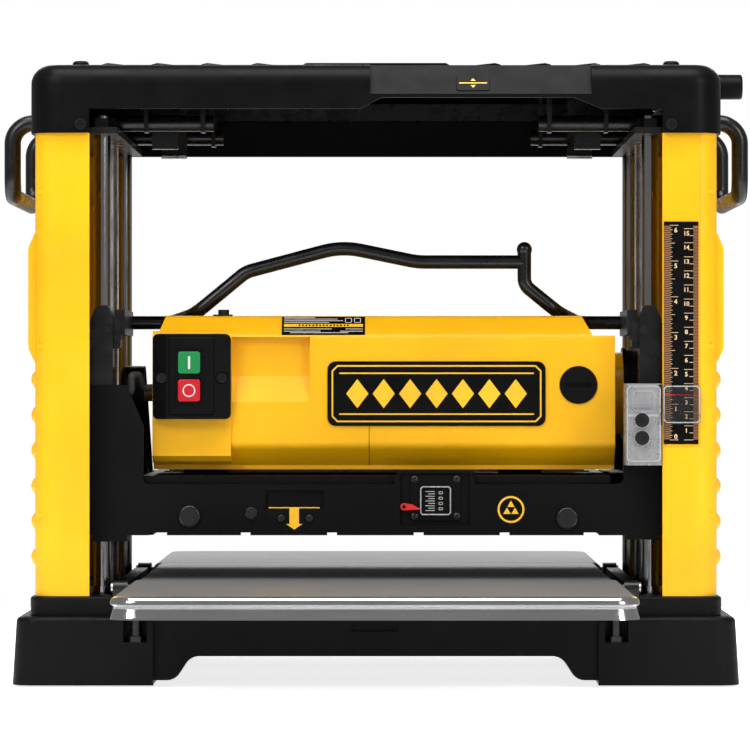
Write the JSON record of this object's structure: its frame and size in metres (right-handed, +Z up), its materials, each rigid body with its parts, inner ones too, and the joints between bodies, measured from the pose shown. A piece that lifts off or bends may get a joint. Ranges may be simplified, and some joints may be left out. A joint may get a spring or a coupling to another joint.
{
  "type": "thickness planer",
  "caption": "Portable thickness planer: folding infeed and outfeed tables, a crank-lifted motor and cutterhead carriage on posts, and carry handles.",
  "frame": {"origin": "on the bench, under the middle of the machine", "axes": "+X to the operator's right, where the crank is; +Y from the infeed side to the outfeed side; +Z up"},
  "size_m": [0.54, 0.846, 0.4455],
  "materials": {
    "cast_black": "black textured powder coat on cast aluminium",
    "black_steel": "gloss black paint",
    "black_plastic": "fine-grained black moulding",
    "yellow_plastic": "satin yellow moulding",
    "polished_steel": "polished stainless sheet",
    "chrome_rod": "hard chromed rod",
    "steel": "machined steel",
    "zinc": "zinc-plated steel",
    "bronze": "sintered bronze",
    "motor_iron": "laminated iron with varnish",
    "black_rubber": "moulded rubber",
    "roller_rubber": "ground rubber cover",
    "green_plastic": "moulded green key",
    "red_plastic": "moulded red key",
    "red_needle": "red paint",
    "clear_plastic": "clear moulded acrylic",
    "scale_black": "printed black scale plate",
    "label_black": "printed plate without lettering"
  },
  "bodies": {
    "frame": {"base_casting": "cast_black", "rubber_feet": "black_rubber", "bed_platen": "polished_steel", "table_stop_screws": "black_steel", "hinge_brackets": "black_steel", "hinge_pins": "zinc", "guide_posts": "chrome_rod", "post_nuts": "black_steel", "top_frame": "black_steel", "top_cover": "black_plastic", "cover_screws": "black_steel", "cover_caps": "black_plastic", "side_panel_left": "yellow_plastic", "side_panel_right": "yellow_plastic", "depth_scale": "scale_black", "carry_handle_left": "black_steel", "carry_handle_right": "black_steel", "handle_brackets": "black_steel", "screw_bearings": "bronze", "elevation_chain": "steel"},
    "crank": {"crank_shaft": "steel", "crank_arm": "black_steel"},
    "crank_grip": {"crank_grip": "black_plastic"},
    "right_screw": {"jackscrew_right": "steel"},
    "left_screw": {"jackscrew_left": "steel"},
    "carriage": {"carriage_casting": "cast_black", "carriage_screws": "black_steel", "post_bushings": "bronze", "lift_nuts": "bronze", "motor_housing_left": "yellow_plastic", "motor_housing_right": "yellow_plastic", "switch_box": "black_plastic", "brush_caps": "black_plastic", "nameplates": "label_black", "stator": "motor_iron", "motor_end_cap": "black_plastic", "shaft_bearings": "steel", "drive_belt": "black_rubber", "belt_cover": "black_plastic", "feed_chain": "steel", "feed_gearbox": "cast_black", "chip_hood": "black_plastic", "gauge_plate": "black_plastic", "depth_pointer": "clear_plastic", "switch_lead": "black_rubber", "cable_gland": "black_plastic", "lock_brackets": "black_steel"},
    "cutterhead": {"cutterhead": "steel", "cutter_knives": "zinc", "cutter_pulley": "steel"},
    "armature": {"armature": "motor_iron", "motor_pulley": "steel"},
    "infeed_roller": {"infeed_roller": "roller_rubber"},
    "outfeed_roller": {"outfeed_roller": "roller_rubber"},
    "start_button": {"start_button": "green_plastic"},
    "stop_button": {"stop_button": "red_plastic"},
    "gauge_pointer": {"gauge_pointer": "red_needle"},
    "lock_lever": {"lock_lever": "black_steel"},
    "infeed_table": {"infeed_table": "polished_steel"},
    "outfeed_table": {"outfeed_table": "polished_steel"}
  },
  "joints": [
    {"name": "crank_turn", "type": "hinge", "parent": "frame", "child": "crank", "pos_m": [0.237, 0, 0.415], "axis": [1, 0, 0], "range_deg": [-27000.01, 6525.01]},
    {"name": "crank_grip_spin", "type": "hinge", "parent": "crank", "child": "crank_grip", "pos_m": [0.255, -0.04079, 0.434], "axis": [1, 0, 0], "continuous": true},
    {"name": "right_screw_turn", "type": "hinge", "parent": "frame", "child": "right_screw", "pos_m": [0.2, 0, 0.2], "axis": [0, 0, 1], "range_deg": [-27000.01, 6525.01]},
    {"name": "left_screw_turn", "type": "hinge", "parent": "frame", "child": "left_screw", "pos_m": [-0.2, 0, 0.2], "axis": [0, 0, 1], "range_deg": [-27000.01, 6525.01]},
    {"name": "carriage_lift", "type": "slide", "parent": "frame", "child": "carriage", "axis": [0, 0, 1], "range_m": [-0.029, 0.12]},
    {"name": "lock_lever_swing", "type": "hinge", "parent": "carriage", "child": "lock_lever", "pos_m": [0, -0.04, 0.26], "axis": [1, 0, 0], "range_deg": [0, 28]},
    {"name": "infeed_table_fold", "type": "hinge", "parent": "frame", "child": "infeed_table", "pos_m": [0, -0.164, 0.069], "axis": [1, 0, 0], "range_deg": [-90, 0]},
    {"name": "outfeed_table_fold", "type": "hinge", "parent": "frame", "child": "outfeed_table", "pos_m": [0, 0.164, 0.069], "axis": [1, 0, 0], "range_deg": [0, 90]},
    {"name": "start_button_press", "type": "slide", "parent": "carriage", "child": "start_button", "axis": [0, 1, 0], "range_m": [0, 0.003], "stiffness_N_per_m": 400},
    {"name": "stop_button_press", "type": "slide", "parent": "carriage", "child": "stop_button", "axis": [0, 1, 0], "range_m": [0, 0.003], "stiffness_N_per_m": 400},
    {"name": "gauge_pointer_swing", "type": "hinge", "parent": "carriage", "child": "gauge_pointer", "pos_m": [0.02, -0.1517, 0.127], "axis": [0, 1, 0], "range_deg": [0, 25]},
    {"name": "cutterhead_spin", "type": "hinge", "parent": "carriage", "child": "cutterhead", "pos_m": [0, 0.03, 0.131], "axis": [1, 0, 0], "continuous": true},
    {"name": "motor_spin", "type": "hinge", "parent": "carriage", "child": "armature", "pos_m": [0, -0.062, 0.208], "axis": [1, 0, 0], "continuous": true},
    {"name": "infeed_roller_spin", "type": "hinge", "parent": "carriage", "child": "infeed_roller", "pos_m": [0, -0.038, 0.1222], "axis": [1, 0, 0], "continuous": true},
    {"name": "outfeed_roller_spin", "type": "hinge", "parent": "carriage", "child": "outfeed_roller", "pos_m": [0, 0.098, 0.1222], "axis": [1, 0, 0], "continuous": true}
  ],
  "couplings": [
    {"joint": "crank_turn", "follows": "carriage_lift", "rad_per_m": -3927},
    {"joint": "right_screw_turn", "follows": "carriage_lift", "rad_per_m": -3927},
    {"joint": "left_screw_turn", "follows": "carriage_lift", "rad_per_m": -3927},
    {"joint": "motor_spin", "follows": "cutterhead_spin", "ratio": 1.8182},
    {"joint": "infeed_roller_spin", "follows": "cutterhead_spin", "ratio": -0.0083333},
    {"joint": "outfeed_roller_spin", "follows": "cutterhead_spin", "ratio": -0.0083333}
  ]
}
